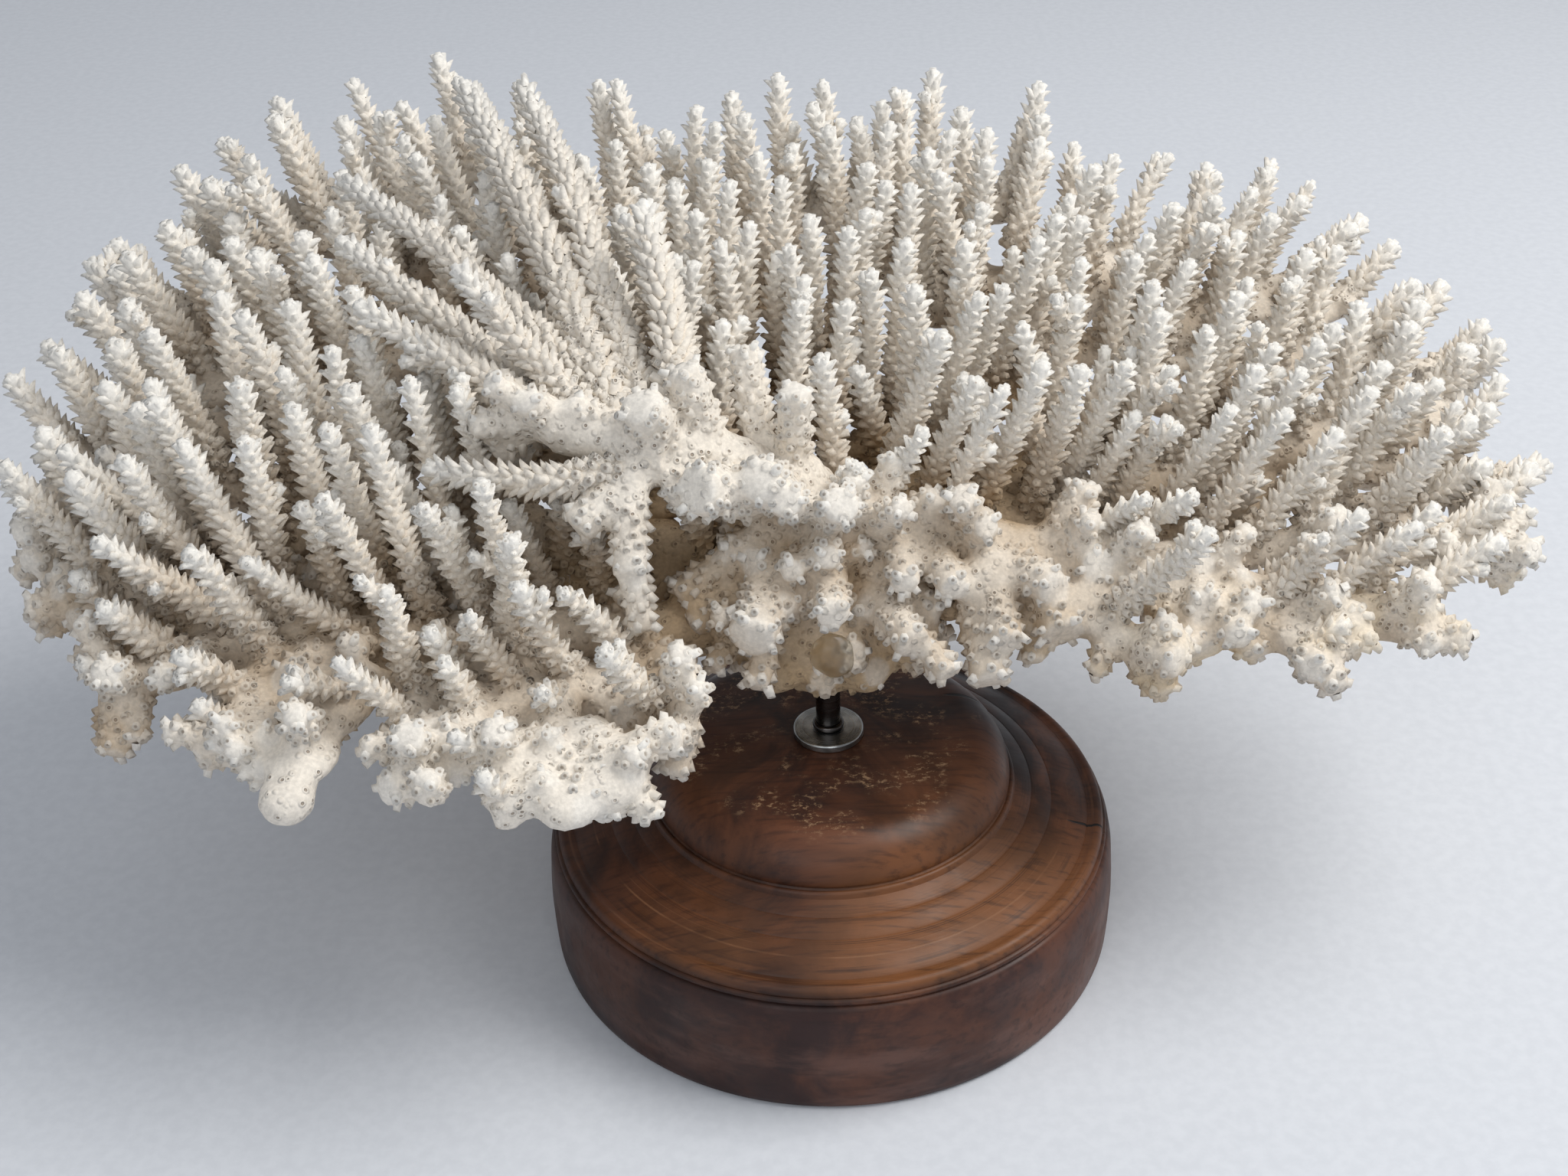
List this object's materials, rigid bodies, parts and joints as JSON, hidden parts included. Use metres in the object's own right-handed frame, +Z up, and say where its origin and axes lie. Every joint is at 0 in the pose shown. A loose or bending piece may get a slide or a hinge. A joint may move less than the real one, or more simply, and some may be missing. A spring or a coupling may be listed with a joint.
{
  "type": "branching coral on stand",
  "caption": "Bleached table coral with a broad crown of spiky branchlets, held on a steel rod over a turned wooden base.",
  "frame": {"origin": "middle of the base's flat foot, on the surface that it stands on", "axes": "+X along the length of the crown, +Y towards its back, +Z up"},
  "size_m": [0.4305, 0.2547, 0.2063],
  "materials": {
    "walnut": "worn satin polish",
    "brushed_disc": "brushed",
    "dark_rod": "blackened, glossy",
    "clear_resin": "translucent, yellowed",
    "coral": "matt, chalky"
  },
  "bodies": {
    "root": {"wooden_base": "walnut", "steel_disc": "brushed_disc", "steel_rod": "dark_rod", "resin_plug": "clear_resin", "stalk": "coral", "left_front_limb": "coral", "left_limb": "coral", "upper_left_limb": "coral", "back_left_limb": "coral", "back_limb": "coral", "back_right_limb": "coral", "right_limb": "coral", "right_front_limb": "coral"}
  },
  "joints": []
}
